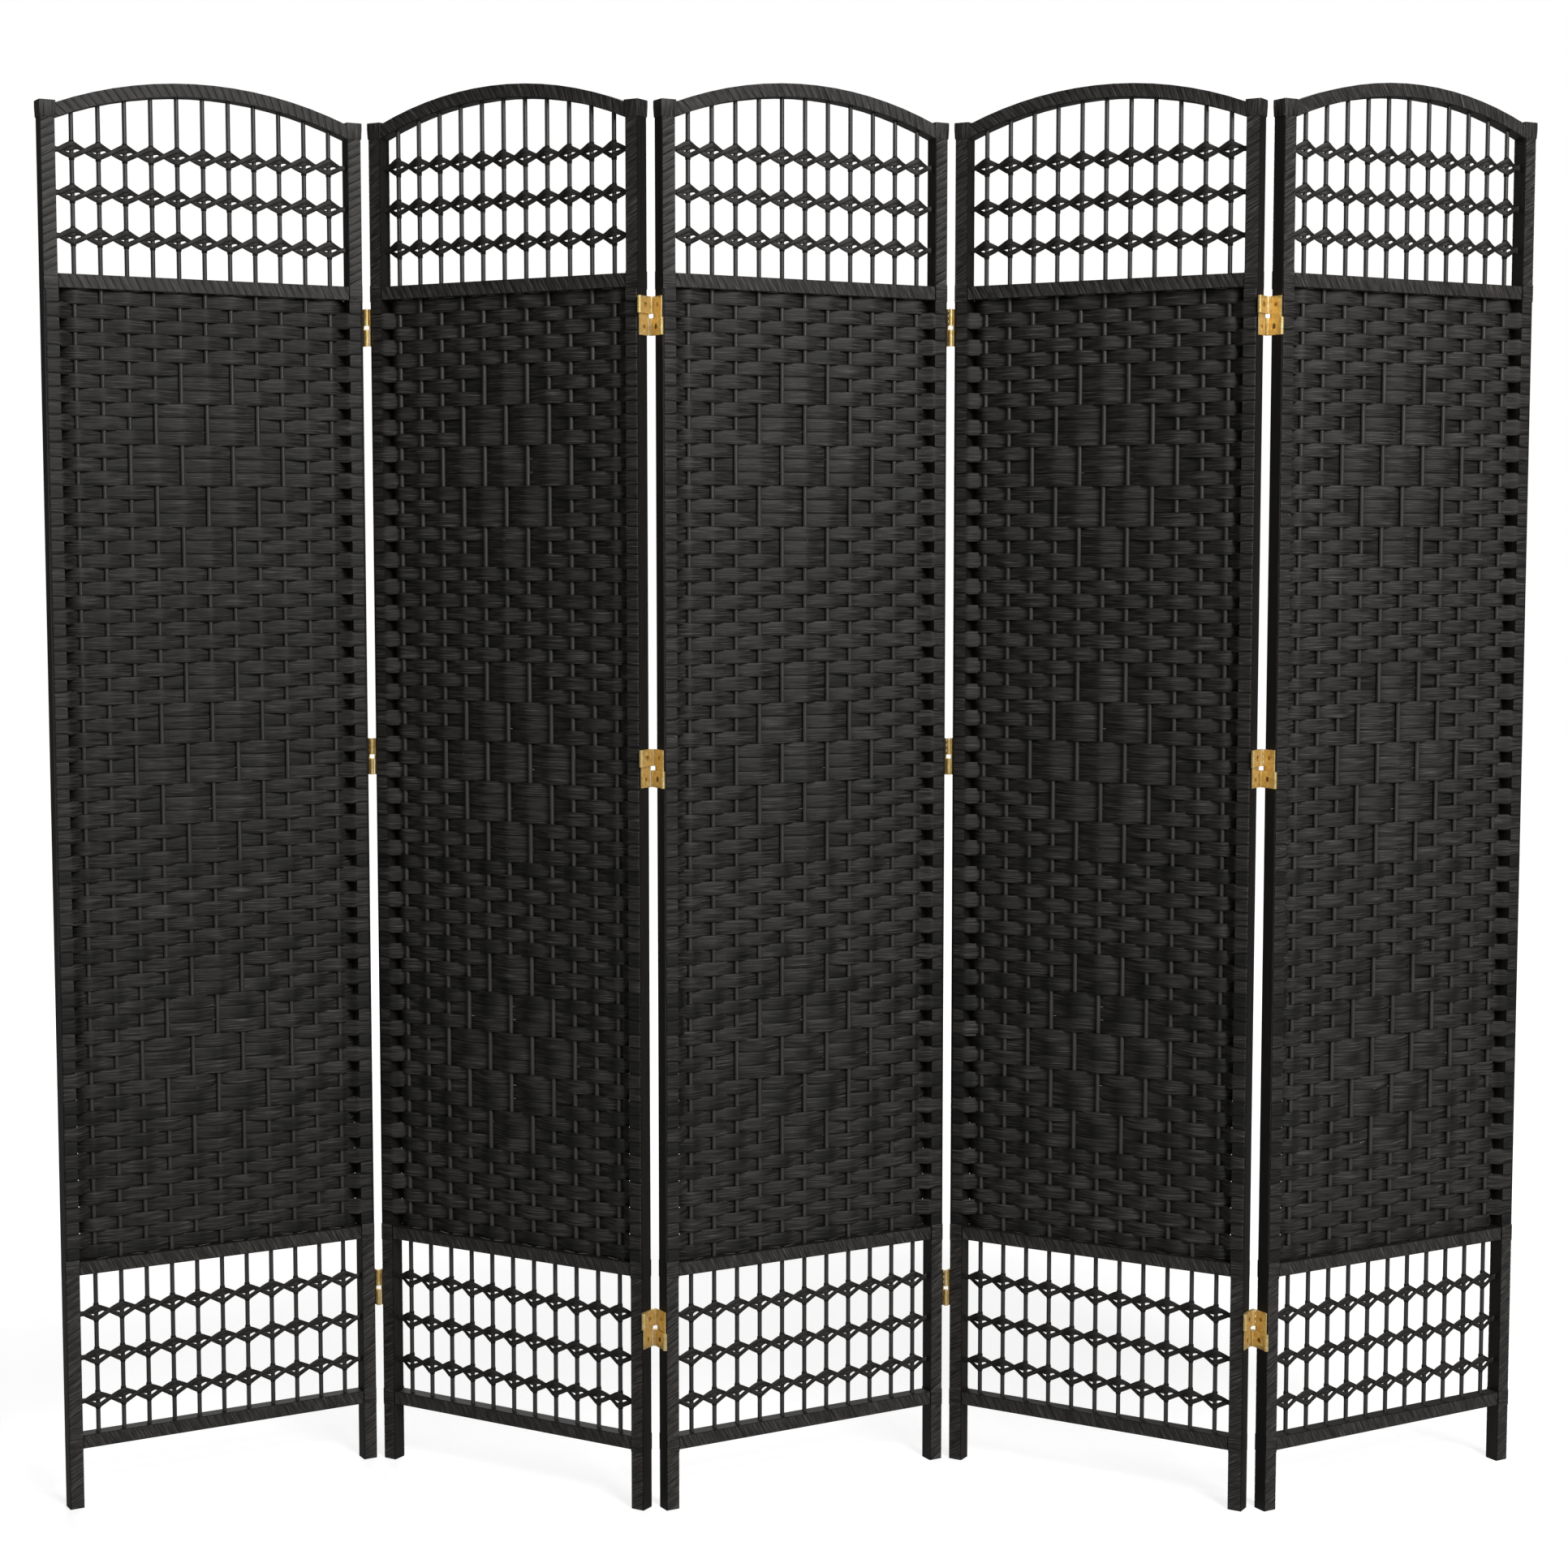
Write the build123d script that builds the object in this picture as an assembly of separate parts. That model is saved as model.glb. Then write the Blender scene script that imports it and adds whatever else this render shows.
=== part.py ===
from build123d import *
import os
from math import cos, radians, sin, sqrt

# A free-standing folding screen: five equal woven panels hinged edge to edge.
# +Z is up, +X runs along the screen and the front faces -Y.
# The origin is on the floor, under the middle of the middle panel.
# All sizes are in millimetres and all angles in degrees.

# Whole screen
panel_count = 5
panel_width = 394.0
panel_height = 1665.0
rest_angle = 30.2

# Frame of one panel, over its fiber wrap
stile_width = 19.0
stile_depth = 20.0
wrap_thickness = 1.0
wrap_corner_radius = 1.6
rail_height = 18.4
rail_depth = 19.0
upper_rail_top = 1468.7
lower_rail_top = 301.7
bottom_rail_top = 89.8
bow_rise = 33.5
bow_thickness = 18.0
bow_drop_at_stile = 1.6
band_proud = 0.5
band_overlap = 1.2
cap_height = 20.0
cap_proud = 0.8
foot_bare_height = 1.0
window_clearance = 0.15

# Dowels that hold the rails in the stiles
dowel_diameter = 6.0
dowel_in_rail = 12.0
dowel_in_bow = 8.5
dowel_in_stile = 10.0
dowel_clearance = 0.05

# Rods, woven strips and lattice cords
rod_count = 11
rod_diameter = 5.3
rod_end_space = 20.5
rod_seat_depth = 8.0
rod_hole_clearance = 0.1
strip_rows = 71
strip_gap = 0.9
strip_thickness = 1.5
strip_clearance = 0.3
strip_end_offset = 5.0
diamond_rows = (13, 35, 57)
diamond_step = 3
diamond_reach = 3
cord_row_pitch_top = 49.4
cord_row_pitch_bottom = 53.4
cord_row_above_rail_top = 42.8
cord_row_above_rail_bottom = 38.4
cord_rows = 3
cord_width = 5.0
cord_thickness = 1.6
cord_swing = 7.5
cord_flat = 7.0
cord_clearance = 0.1

# Two-way hinges between the panels
hinge_heights = (220.3, 892.0, 1418.5)
hinge_height = 45.0
hinge_middle_gap = 5.0
panel_gap = 5.2
axis_offset = 2.6
barrel_diameter = 5.0
hinge_pin_diameter = 2.3
hinge_pin_clearance = 0.05
knuckles_per_half = 6
knuckle_gap = 0.16
leaf_thickness = 1.2
leaf_edge_clearance = 0.4
screw_shank_diameter = 2.6
screw_head_diameter = 5.2
screw_length = 13.0
screw_clearance = 0.05
screw_head_sink = 0.1
screw_access_diameter = 6.4

# Worked-out sizes
core_width = stile_width - 2 * wrap_thickness
core_depth = stile_depth - 2 * wrap_thickness
core_top = panel_height - wrap_thickness
rail_core_height = rail_height - 2 * wrap_thickness
rail_core_depth = rail_depth - 2 * wrap_thickness
stile_middle = (panel_width - stile_width) / 2
stile_inner_face = panel_width / 2 - stile_width
core_inner_face = stile_inner_face + wrap_thickness
rod_pitch = (2 * stile_inner_face - 2 * rod_end_space) / (rod_count - 1)
rod_places = [(i - (rod_count - 1) / 2) * rod_pitch for i in range(rod_count)]
rail_tops = (upper_rail_top, lower_rail_top, bottom_rail_top)
weave_bottom = lower_rail_top
weave_top = upper_rail_top - rail_height
row_pitch = (weave_top - weave_bottom) / strip_rows
strip_height = row_pitch - strip_gap
strip_offset = rod_diameter / 2 + strip_clearance + strip_thickness / 2
half_height = (hinge_height - hinge_middle_gap) / 2
knuckle_pitch = half_height / knuckles_per_half
leaf_half_depth = stile_depth / 2 + axis_offset - barrel_diameter / 2 - leaf_edge_clearance
screw_spread = hinge_middle_gap / 2 + half_height / 2

# The bowed rail's outer edge is an arc through its two ends and its crown.
bow_end_top = panel_height - bow_drop_at_stile
bow_radius = (stile_inner_face**2 + bow_rise**2) / (2 * bow_rise)
bow_centre = bow_end_top + bow_rise - bow_radius


def bow_height(x, inset):
    """Height of the bowed rail's edge at x, inset below its outer edge."""
    return bow_centre + sqrt((bow_radius - inset) ** 2 - x**2)


def bar(width, depth, bottom, top, x=0.0, y=0.0):
    """An upright block between two heights."""
    block = Box(width, depth, top - bottom)
    return Pos(x, y, (top + bottom) / 2) * block


def rounded_bar(width, depth, bottom, top, x, radius):
    """An upright block with rounded long edges."""
    profile = Pos(x, 0, bottom) * RectangleRounded(width, depth, radius)
    return extrude(profile, top - bottom)


def lying_rod(radius, length, x, y, z):
    """A round bar along X, starting at x."""
    return Pos(x, y, z) * (Rot(0, 90, 0) * Cylinder(radius, length, align=(Align.CENTER, Align.CENTER, Align.MIN)))


def upright_rod(radius, bottom, top, x, y):
    """A round bar along Z."""
    return Pos(x, y, bottom) * Cylinder(radius, top - bottom, align=(Align.CENTER, Align.CENTER, Align.MIN))


# Frame


def bow_solid(inset, depth, half_length):
    """The bowed rail, or its wrap's outline, with its edges moved in by inset."""
    outer = bow_radius - inset
    inner = bow_radius - bow_thickness + inset
    left_top = (-half_length, bow_height(half_length, inset))
    right_top = (half_length, bow_height(half_length, inset))
    left_low = (-half_length, bow_height(half_length, bow_thickness - inset))
    right_low = (half_length, bow_height(half_length, bow_thickness - inset))
    upper = ThreePointArc(left_top, (0, bow_centre + outer), right_top)
    lower = ThreePointArc(right_low, (0, bow_centre + inner), left_low)
    outline = Wire([upper, Line(right_top, right_low), lower, Line(left_low, left_top)])
    face = Plane.XZ * Face(outline)
    return extrude(face, depth / 2, both=True)


def bow_end_middle():
    """Height of the bowed rail's centre line where it meets the stile."""
    return bow_height(core_inner_face, bow_thickness / 2)


def rail_core(top):
    """The timber of one straight cross rail."""
    return bar(2 * core_inner_face, rail_core_depth, top - wrap_thickness - rail_core_height, top - wrap_thickness)


def rod_cutters(clearance=0.0):
    """The eleven rods, from their seats in the bottom rail to their seats in the bowed rail."""
    bottom = bottom_rail_top - wrap_thickness - rod_seat_depth
    solids = []
    for x in rod_places:
        top = bow_height(abs(x), bow_thickness - wrap_thickness) + rod_seat_depth
        solids.append(upright_rod(rod_diameter / 2 + clearance, bottom, top, x, 0))
    return solids


def dowel_specs():
    """Height of each dowel and how far it reaches into its rail."""
    specs = [(top - rail_height / 2, dowel_in_rail) for top in rail_tops]
    return specs + [(bow_end_middle(), dowel_in_bow)]


def dowel_solids(clearance=0.0):
    """The dowels at both ends of every rail."""
    solids = []
    for z, reach in dowel_specs():
        length = reach + dowel_in_stile + 2 * clearance
        for side in (-1, 1):
            middle = side * (core_inner_face + (dowel_in_stile - reach) / 2)
            solids.append(lying_rod(dowel_diameter / 2 + clearance, length, middle - length / 2, 0, z))
    return solids


def screw_places(sides):
    """Outer face and height of each hinge screw."""
    return [(side, z + step * screw_spread) for side in sides for z in hinge_heights for step in (-1, 1)]


def pilot_holes(sides):
    """The holes that the hinge screws cut in the wrap and the stile."""
    radius = screw_shank_diameter / 2 + screw_clearance
    length = screw_length + screw_clearance
    holes = []
    for side, z in screw_places(sides):
        start = panel_width / 2 - length if side > 0 else -panel_width / 2
        holes.append(lying_rod(radius, length, start, 0, z))
    return holes


def stiles(sides):
    """The two upright bars of a panel."""
    solids = []
    for side in (-1, 1):
        core = bar(core_width, core_depth, 0, core_top, side * stile_middle)
        solids.append(core - dowel_solids(dowel_clearance) - pilot_holes(sides))
    return solids


def rails():
    """The three straight cross rails and the bowed top rail."""
    holes = dowel_solids(dowel_clearance) + rod_cutters(rod_hole_clearance)
    solids = [rail_core(top) - holes for top in rail_tops]
    bow = bow_solid(wrap_thickness, rail_core_depth, core_inner_face)
    return solids + [bow - holes]


# Woven infill


def rod_shows(row, rod):
    """True where the rod lies in front of the strip. Rows and rods count from 1."""
    shows = (row + rod) % 2 == 1
    for centre in diamond_rows:
        distance = abs(row - centre)
        if distance % diamond_step == 0 and distance <= 2 * diamond_step:
            half_width = diamond_reach - distance // diamond_step
            if abs(rod - (rod_count + 1) // 2) <= half_width:
                shows = not shows
    return shows


def strip_signature(row):
    """Which rods show in a row."""
    return tuple(rod_shows(row, rod) for rod in range(1, rod_count + 1))


def strip_stations(signature):
    """Points of a strip's centre line in plan, from stile to stile."""
    ends = [-strip_end_offset if shows else strip_end_offset for shows in (signature[0], signature[-1])]
    points = [(-stile_inner_face, ends[0])]
    for x, shows in zip(rod_places, signature):
        points.append((x, strip_offset if shows else -strip_offset))
    return points + [(stile_inner_face, ends[1])]


def strip_solid(signature):
    """One woven strip, standing on height zero. It bends at each rod and runs straight between them."""
    points = strip_stations(signature)
    front = [(x, y - strip_thickness / 2) for x, y in points]
    back = [(x, y + strip_thickness / 2) for x, y in reversed(points)]
    return extrude(Face(Polyline(*front, *back, close=True)), strip_height)


def weave():
    """All the woven strips of a panel, one for each row."""
    patterns = {}
    solids = []
    for row in range(1, strip_rows + 1):
        signature = strip_signature(row)
        if signature not in patterns:
            patterns[signature] = strip_solid(signature)
        bottom = weave_top - row * row_pitch + strip_gap / 2
        solids.append(Pos(0, 0, bottom) * patterns[signature])
    return solids


def cord_row_heights():
    """Heights of the lattice cord rows above and below the weave."""
    top = [upper_rail_top + cord_row_above_rail_top + i * cord_row_pitch_top for i in range(cord_rows)]
    low = [bottom_rail_top + cord_row_above_rail_bottom + i * cord_row_pitch_bottom for i in range(cord_rows)]
    return low + top


def cord_line(phase):
    """Middle line of one lattice cord: over one rod high, over the next one low."""
    line = [(-stile_inner_face, 0.0)]
    for index, x in enumerate(rod_places):
        z = cord_swing if (index + phase) % 2 else -cord_swing
        line.append((x - cord_flat / 2, z))
        line.append((x + cord_flat / 2, z))
    return line + [(stile_inner_face, 0.0)]


def cord_solid(phase, side):
    """One flat lattice cord on the front or back of the rods, about height zero."""
    line = cord_line(phase)
    upper = [(x, z + cord_width / 2) for x, z in line]
    lower = [(x, z - cord_width / 2) for x, z in reversed(line)]
    face = Plane.XZ * Face(Polyline(*upper, *lower, close=True))
    inner = rod_diameter / 2 + cord_clearance
    middle = side * (inner + cord_thickness / 2)
    return Pos(0, middle, 0) * extrude(face, cord_thickness / 2, both=True)


def lattice_cords():
    """The open cord lattice: each row has a front and a back cord that cross between the rods."""
    patterns = {-1: cord_solid(0, -1), 1: cord_solid(1, 1)}
    return [Pos(0, 0, z) * patterns[side] for z in cord_row_heights() for side in (-1, 1)]


# Fiber wraps


def sleeve(side, bottom, top, proud, closed_top=False):
    """A wrap round a stile, proud on its front, back and outer faces."""
    width = stile_width + proud
    x = side * (stile_middle + proud / 2)
    outer = rounded_bar(width, stile_depth + 2 * proud, bottom, top, x, wrap_corner_radius)
    inner_top = core_top if closed_top else top
    return outer - bar(core_width, core_depth, bottom, inner_top, side * stile_middle)


def stile_wrap_zones():
    """Lower and upper end of each wrap on a stile, and how far it stands proud."""
    bands = [(top - rail_height - band_overlap, top + band_overlap) for top in reversed(rail_tops)]
    cap_bottom = panel_height - cap_height
    zones = []
    start = foot_bare_height
    for low, high in bands:
        zones.append((start, low, 0.0))
        zones.append((low, high, band_proud))
        start = high
    zones.append((start, cap_bottom, 0.0))
    return zones + [(cap_bottom, panel_height, cap_proud)]


def rail_windows():
    """The places where the rails pass through the stile wraps."""
    extra = 2 * window_clearance
    blocks = []
    for top in rail_tops:
        middle = top - rail_height / 2
        low = middle - rail_core_height / 2 - window_clearance
        high = middle + rail_core_height / 2 + window_clearance
        blocks.append(bar(2 * core_inner_face, rail_core_depth + extra, low, high))
    inset = wrap_thickness - window_clearance
    return blocks + [bow_solid(inset, rail_core_depth + extra, core_inner_face)]


def stile_wraps(sides):
    """The spiral wraps, joint bands and caps of both stiles."""
    windows = rail_windows()
    holes = pilot_holes(sides)
    zones = stile_wrap_zones()
    solids = []
    for side in (-1, 1):
        for low, high, proud in zones:
            wrap = sleeve(side, low, high, proud, closed_top=high == panel_height)
            solids.append(wrap - windows - holes)
    return solids


def rail_wraps():
    """The wraps on the four rails, between the stiles."""
    holes = rod_cutters(rod_hole_clearance)
    solids = []
    for top in rail_tops:
        outer = bar(2 * stile_inner_face, rail_depth, top - rail_height, top)
        solids.append(outer - rail_core(top) - holes)
    outer = bow_solid(0, rail_depth, stile_inner_face)
    core = bow_solid(wrap_thickness, rail_core_depth, stile_inner_face + wrap_thickness)
    return solids + [outer - core - holes]


# Hinges


def axis_place(side, face):
    """A hinge axis beside a panel's end: side is left or right, face is front or back."""
    return side * (panel_width / 2 + panel_gap / 2), face * (stile_depth / 2 + axis_offset)


def half_bottom(half):
    """Lower end of a hinge's upper half (1) or lower half (-1), from the hinge's middle."""
    return hinge_middle_gap / 2 if half > 0 else -hinge_middle_gap / 2 - half_height


def knuckle_spans(half, which):
    """Lower and upper ends of the knuckles of a leaf (0), a link (1) or both (None)."""
    bottom = half_bottom(half)
    spans = []
    for i in range(knuckles_per_half):
        if which is None or i % 2 == which:
            low = bottom + i * knuckle_pitch + knuckle_gap / 2
            spans.append((low, low + knuckle_pitch - knuckle_gap))
    return spans


def knuckle(low, high, x, y, arm):
    """One hinge knuckle and the arm that joins it to its plate, bored for the pin."""
    ring = upright_rod(barrel_diameter / 2, low, high, x, y)
    bore = upright_rod(hinge_pin_diameter / 2 + hinge_pin_clearance, low, high, x, y)
    return ring + arm - bore


def leaf(side, open_half):
    """The plate on a stile's end face, with knuckles for the upper and the lower link, about height zero."""
    middle = side * (panel_width + leaf_thickness) / 2
    plate = bar(leaf_thickness, 2 * leaf_half_depth, -hinge_height / 2, hinge_height / 2, middle)
    knuckles = []
    for half in (1, -1):
        if half == open_half:
            continue
        face = -side * half
        x, y = axis_place(side, face)
        reach = abs(y) - leaf_half_depth
        for low, high in knuckle_spans(half, 0):
            arm = bar(leaf_thickness, reach, low, high, middle, face * (leaf_half_depth + reach / 2))
            knuckles.append(knuckle(low, high, x, y, arm))
    holes = []
    for step in (-1, 1):
        holes.append(screw_head(side, step * screw_spread, screw_clearance))
        holes.append(screw_shank(side, step * screw_spread, screw_clearance))
    return plate + knuckles - holes


def hinge_leaves(number):
    """The leaves on a panel's stiles, three for each hinged side."""
    solids = []
    for side in hinged_sides(number):
        plate = leaf(side, open_half(number, side))
        solids += at_hinges(plate)
    return solids


def at_hinges(solid):
    """Copies of a hinge piece at the three hinge heights."""
    return [Pos(0, 0, z) * solid for z in hinge_heights]


def screw_head(side, z, clearance):
    """The countersunk head of a hinge screw."""
    outer = screw_head_diameter / 2 + clearance
    inner = screw_shank_diameter / 2
    height = leaf_thickness - screw_head_sink
    cone = Rot(0, 90 * side, 0) * Cone(inner, outer, height, align=(Align.CENTER, Align.CENTER, Align.MIN))
    sunk = Pos(side * panel_width / 2, 0, z) * cone
    if clearance == 0:
        return sunk
    face_x = panel_width / 2 + height
    start = face_x if side > 0 else -face_x - screw_head_sink
    return sunk + lying_rod(outer, screw_head_sink, start, 0, z)


def screw_shank(side, z, clearance=0.0):
    """The part of a hinge screw in the stile."""
    length = screw_length + leaf_thickness / 2
    start = panel_width / 2 - screw_length if side > 0 else -panel_width / 2 - leaf_thickness / 2
    return lying_rod(screw_shank_diameter / 2 + clearance, length, start, 0, z)


def hinge_screws(sides):
    """Two countersunk screws for each leaf."""
    screws = {side: screw_head(side, 0, 0) + screw_shank(side, 0) for side in sides}
    return [Pos(0, 0, z) * screws[side] for side, z in screw_places(sides)]


def link_plate(half, front_which, back_which):
    """A plate between two leaves, with knuckles at its front and back edges, about the gap's middle."""
    low = half_bottom(half)
    edge = stile_depth / 2 + axis_offset
    reach = edge - leaf_half_depth
    plate = bar(leaf_thickness, 2 * leaf_half_depth, low, low + half_height)
    knuckles = []
    for face, which in ((-1, front_which), (1, back_which)):
        for start, end in knuckle_spans(half, which):
            arm = bar(leaf_thickness, reach, start, end, 0, face * (leaf_half_depth + reach / 2))
            knuckles.append(knuckle(start, end, 0, face * edge, arm))
    access = lying_rod(screw_access_diameter / 2, 2 * leaf_thickness, -leaf_thickness, 0, half * screw_spread)
    return plate + knuckles - access


def hinge_pins(half):
    """The front and back pins of all the links of one joint, in the upper or lower half of its hinges."""
    edge = stile_depth / 2 + axis_offset
    low = half_bottom(half) + knuckle_gap / 2
    high = low + half_height - knuckle_gap
    pair = [upright_rod(hinge_pin_diameter / 2, low, high, 0, face * edge) for face in (-1, 1)]
    return [placed_pin for pin in pair for placed_pin in at_hinges(pin)]


# Places of the panels and hinges at rest


def turned(point, angle):
    """A point turned about the vertical through the origin."""
    x, y = point
    c, s = cos(radians(angle)), sin(radians(angle))
    return x * c - y * s, x * s + y * c


def panel_angle(number):
    """Odd panels run from front left to back right, even ones the other way."""
    return rest_angle if number % 2 else -rest_angle


def main_face(joint):
    """The face whose axis the joint is turned about at rest: odd joints front, even joints back."""
    return -1 if joint % 2 else 1


def panel_places():
    """Middle of each panel in plan. Neighbours share the hinge axis that they are turned about."""
    middle = (panel_count + 1) // 2
    places = {middle: (0.0, 0.0)}
    for number in range(middle + 1, panel_count + 1):
        face = main_face(number - 1)
        before = turned(axis_place(1, face), panel_angle(number - 1))
        after = turned(axis_place(-1, face), panel_angle(number))
        px, py = places[number - 1]
        places[number] = (px + before[0] - after[0], py + before[1] - after[1])
    for number in range(middle - 1, 0, -1):
        face = main_face(number)
        before = turned(axis_place(-1, face), panel_angle(number + 1))
        after = turned(axis_place(1, face), panel_angle(number))
        px, py = places[number + 1]
        places[number] = (px + before[0] - after[0], py + before[1] - after[1])
    return places


def panel_location(number):
    """Where a panel stands."""
    x, y = panel_places()[number]
    return Location((x, y, 0), (0, 0, panel_angle(number)))


def hinged_sides(number):
    """Ends of a panel that carry hinges."""
    return [side for side, neighbour in ((-1, number - 1), (1, number + 1)) if 1 <= neighbour <= panel_count]


def link_host(joint, half):
    """The panel that a link lies against at rest, and the side it lies on."""
    left_carries = (main_face(joint) > 0) == (half > 0)
    return (joint, 1) if left_carries else (joint + 1, -1)


def link_location(joint, half):
    """Where the links of a joint lie: the middle of the gap, as seen from the panel they lie against."""
    number, side = link_host(joint, half)
    return panel_location(number) * Location((side * (panel_width + panel_gap) / 2, 0, 0))


def open_half(number, side):
    """The lower half of a leaf has no knuckles where the lower link lies against the other panel."""
    joint = number if side > 0 else number - 1
    return None if link_host(joint, -1)[0] == number else -1


def upper_links():
    """The upper link plates of a joint. Their knuckles fit between those of the leaves."""
    return at_hinges(link_plate(1, 1, 1))


def lower_links(joint):
    """The lower link plates of a joint, with a full row of knuckles at the pivot that stays open."""
    _, side = link_host(joint, -1)
    kinds = {side: 1, -side: None}
    return at_hinges(link_plate(-1, kinds[-1], kinds[1]))


def placed(solids, location):
    """Copies of the solids, moved to a place in the standing screen."""
    return [piece.moved(location) for solid in solids for piece in solid.solids()]


def write(name, solids):
    """Write one node."""
    export_step(Compound(children=solids), f"parts/{name}.step")


os.makedirs("parts", exist_ok=True)

# Every panel has its own copy of these.
alike = {
    "rails": rails(),
    "dowels": dowel_solids(),
    "rods": rod_cutters(),
    "weave": weave(),
    "lattice_cords": lattice_cords(),
}
wraps_of_rails = rail_wraps()

for number in range(1, panel_count + 1):
    here = panel_location(number)
    sides = hinged_sides(number)
    own = {
        "stiles": stiles(sides),
        "wraps": stile_wraps(sides) + wraps_of_rails,
        "hinge_leaves": hinge_leaves(number),
        "hinge_screws": hinge_screws(sides),
    }
    for name, solids in (alike | own).items():
        write(f"panel_{number}_{name}", placed(solids, here))

for joint in range(1, panel_count):
    here = link_location(joint, 1)
    write(f"upper_links_{joint}_{joint + 1}", placed(upper_links(), here))
    write(f"upper_pins_{joint}_{joint + 1}", placed(hinge_pins(1), here))

# The lower links are grouped by the panel that they lie against.
for number in range(1, panel_count + 1):
    links, pins = [], []
    for joint in range(1, panel_count):
        if link_host(joint, -1)[0] == number:
            here = link_location(joint, -1)
            links += placed(lower_links(joint), here)
            pins += placed(hinge_pins(-1), here)
    if links:
        write(f"panel_{number}_lower_links", links)
        write(f"panel_{number}_lower_pins", pins)
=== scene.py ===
# %% [markdown]
# # A woven fiber folding screen
# Five slender panels stand in a zigzag. Each one is a timber frame bound in flat plant fiber, with
# eleven cane rods, two open bands of knotted cord and a tall field of wide strips woven round the rods.
# The frame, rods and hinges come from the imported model. This file gives them their finishes, and
# models the fiber work on top: the woven strips, the wound ribbon and the knotted cord.

# %% Load the fixed frame
from math import atan2, cos, pi, radians, sin

import bpy
import numpy as np
from mathutils import Matrix, Vector


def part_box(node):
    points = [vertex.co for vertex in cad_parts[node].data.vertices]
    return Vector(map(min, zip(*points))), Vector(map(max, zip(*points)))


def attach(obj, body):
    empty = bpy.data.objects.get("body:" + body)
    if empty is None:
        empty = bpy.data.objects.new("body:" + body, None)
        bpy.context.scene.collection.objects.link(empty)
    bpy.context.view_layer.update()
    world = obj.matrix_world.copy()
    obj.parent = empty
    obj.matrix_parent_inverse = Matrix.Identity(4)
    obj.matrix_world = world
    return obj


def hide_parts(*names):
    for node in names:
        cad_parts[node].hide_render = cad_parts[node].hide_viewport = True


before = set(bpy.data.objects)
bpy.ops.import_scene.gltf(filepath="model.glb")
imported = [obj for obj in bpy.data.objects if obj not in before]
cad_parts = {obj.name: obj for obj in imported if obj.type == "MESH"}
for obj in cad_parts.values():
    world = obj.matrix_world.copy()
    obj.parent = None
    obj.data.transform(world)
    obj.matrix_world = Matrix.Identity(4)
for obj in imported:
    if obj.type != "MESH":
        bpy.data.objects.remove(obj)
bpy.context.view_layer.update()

# %% [markdown]
# ## Sizes and places
# All five panels are alike, so every piece is modelled once about a panel's own middle, and copied
# to the five places. A panel's place is read from its rods, which lie evenly about its middle. Odd
# panels run from front left to back right, and even panels the other way.

# %% The panels' places
mm = 0.001
panel_numbers = range(1, 6)
stile_width = 19 * mm
stile_depth = 20 * mm
panel_width = 394 * mm
rod_diameter = 5.3 * mm
rod_pitch = 31.5 * mm
rod_count = 11
half_rods = (rod_count - 1) // 2


def panel_matrix(number):
    """Where a panel stands, from the box of its rods."""
    low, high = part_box(f"panel_{number}_rods")
    span = high - low
    lean = atan2(span.y - rod_diameter, span.x - rod_diameter)
    turn = lean if number % 2 else -lean
    middle = (low + high) / 2
    return Matrix.Translation((middle.x, middle.y, 0)) @ Matrix.Rotation(turn, 4, "Z")


panel_places = {number: panel_matrix(number) for number in panel_numbers}
for number, place in panel_places.items():
    turn = place.to_euler().z / radians(1)
    print(f"panel {number}: middle x {place.translation.x:.4f} m, turned {turn:.2f} degrees")

# %% [markdown]
# ## Camera
# The photograph was taken from a little above the middle of the screen, with a lens of about 65 mm
# looking slightly down, so the upright edges converge a little towards the floor.

# %% Camera
camera_data = bpy.data.cameras.new("camera")
camera_data.lens = 65.0
camera_data.sensor_width = 36.0
camera = bpy.data.objects.new("camera", camera_data)
bpy.context.scene.collection.objects.link(camera)
camera.location = (-11.19 * mm, -3411.9 * mm, 1160.3 * mm)
camera.rotation_euler = (radians(85.061), 0, radians(0.231))
bpy.context.scene.camera = camera
bpy.context.scene.view_settings.view_transform = "Standard"

# %% [markdown]
# ## Making materials
# Every finish is a small tree of nodes. One function adds a node with its settings and links, and one
# turns the sRGB colour of a swatch into the linear colour that the renderer works in.


# %% Helpers for materials
def add_node(tree, kind, settings=None, links=None):
    """Add a node, set its properties and constant inputs, and link its other inputs."""
    node = tree.nodes.new(kind)
    for key, value in (settings or {}).items():
        if isinstance(key, str) and hasattr(node, key):
            setattr(node, key, value)
        else:
            node.inputs[key].default_value = value
    for key, source in (links or {}).items():
        tree.links.new(source, node.inputs[key])
    return node


def linear(swatch):
    """An sRGB swatch such as 302e2c as a linear colour."""
    parts = [int(swatch[i:i + 2], 16) / 255 for i in (0, 2, 4)]
    return [c / 12.92 if c <= 0.04045 else ((c + 0.055) / 1.055) ** 2.4 for c in parts] + [1.0]


def new_material(name):
    """An empty material with its surface shader, and the tree to build in."""
    material = bpy.data.materials.new(name)
    material.use_nodes = True
    tree = material.node_tree
    tree.nodes.clear()
    shader = add_node(tree, "ShaderNodeBsdfPrincipled")
    output = add_node(tree, "ShaderNodeOutputMaterial")
    tree.links.new(shader.outputs["BSDF"], output.inputs["Surface"])
    return material, tree, shader


def set_ramp(node, stops):
    """Give a colour ramp its stops, as pairs of place and swatch."""
    ramp = node.color_ramp
    while len(ramp.elements) < len(stops):
        ramp.elements.new(0.5)
    for element, (place, swatch) in zip(ramp.elements, stops):
        element.position = place
        element.color = linear(swatch)


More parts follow.
